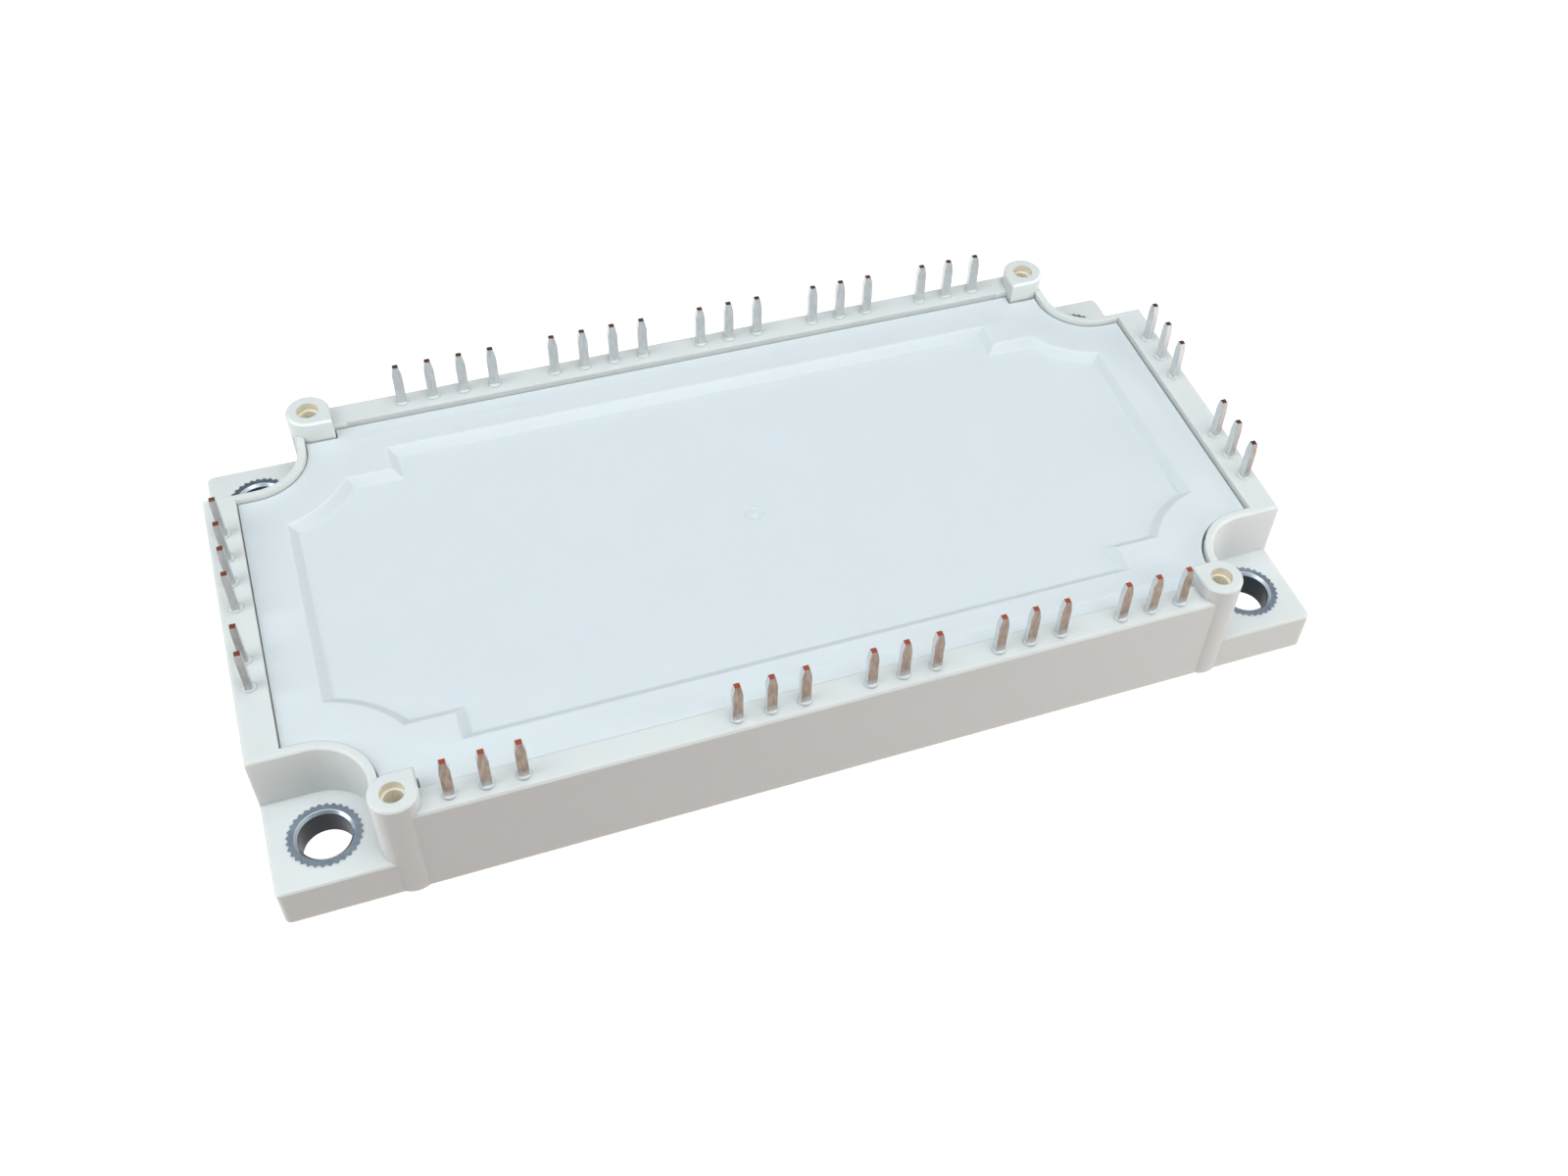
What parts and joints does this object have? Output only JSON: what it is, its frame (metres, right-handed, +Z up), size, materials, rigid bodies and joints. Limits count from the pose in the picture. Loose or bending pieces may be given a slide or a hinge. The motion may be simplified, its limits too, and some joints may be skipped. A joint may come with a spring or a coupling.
{
  "type": "power transistor module",
  "caption": "flat moulded power module with solder pins round its rim, a recessed lid, four bushed screw corners and a metal base plate for a heatsink",
  "frame": {"origin": "centre of the base plate's under side, the face that meets the heatsink", "axes": "X along the length, Y across to the back row of pins, Z up out of the heatsink towards the pin tips"},
  "size_m": [0.1216, 0.0626, 0.0207],
  "materials": {
    "frame_plastic": "satin",
    "lid_plastic": "satin",
    "pin_metal": "tin plated",
    "bushing_steel": "zinc plated",
    "plate_metal": "nickel plated",
    "circuit_copper": "etched",
    "ceramic": "fired",
    "silicon": "polished",
    "sensor_ceramic": "fired",
    "solder": "reflowed",
    "wire_aluminium": "drawn",
    "gel": "clear",
    "seal_rubber": "cured"
  },
  "bodies": {
    "root": {"frame": "frame_plastic", "lid": "lid_plastic", "base_plate": "plate_metal", "mounting_bushings": "bushing_steel", "base_seal": "seal_rubber", "solder_layers": "solder", "substrate_backs": "circuit_copper", "ceramic_tiles": "ceramic", "copper_tracks": "circuit_copper", "igbt_chips": "silicon", "freewheel_diodes": "silicon", "rectifier_diodes": "silicon", "thermistor": "sensor_ceramic", "bond_wires": "wire_aluminium", "silicone_gel": "gel", "pin_back_01": "pin_metal", "pin_back_02": "pin_metal", "pin_back_03": "pin_metal", "pin_back_04": "pin_metal", "pin_back_05": "pin_metal", "pin_back_06": "pin_metal", "pin_back_07": "pin_metal", "pin_back_08": "pin_metal", "pin_back_09": "pin_metal", "pin_back_10": "pin_metal", "pin_back_11": "pin_metal", "pin_back_12": "pin_metal", "pin_back_13": "pin_metal", "pin_back_14": "pin_metal", "pin_back_15": "pin_metal", "pin_back_16": "pin_metal", "pin_back_17": "pin_metal", "pin_front_01": "pin_metal", "pin_front_02": "pin_metal", "pin_front_03": "pin_metal", "pin_front_04": "pin_metal", "pin_front_05": "pin_metal", "pin_front_06": "pin_metal", "pin_front_07": "pin_metal", "pin_front_08": "pin_metal", "pin_front_09": "pin_metal", "pin_front_10": "pin_metal", "pin_front_11": "pin_metal", "pin_front_12": "pin_metal", "pin_front_13": "pin_metal", "pin_front_14": "pin_metal", "pin_front_15": "pin_metal", "pin_left_01": "pin_metal", "pin_left_02": "pin_metal", "pin_left_03": "pin_metal", "pin_left_04": "pin_metal", "pin_left_05": "pin_metal", "pin_left_06": "pin_metal", "pin_right_01": "pin_metal", "pin_right_02": "pin_metal", "pin_right_03": "pin_metal", "pin_right_04": "pin_metal", "pin_right_05": "pin_metal", "pin_right_06": "pin_metal"}
  },
  "joints": []
}
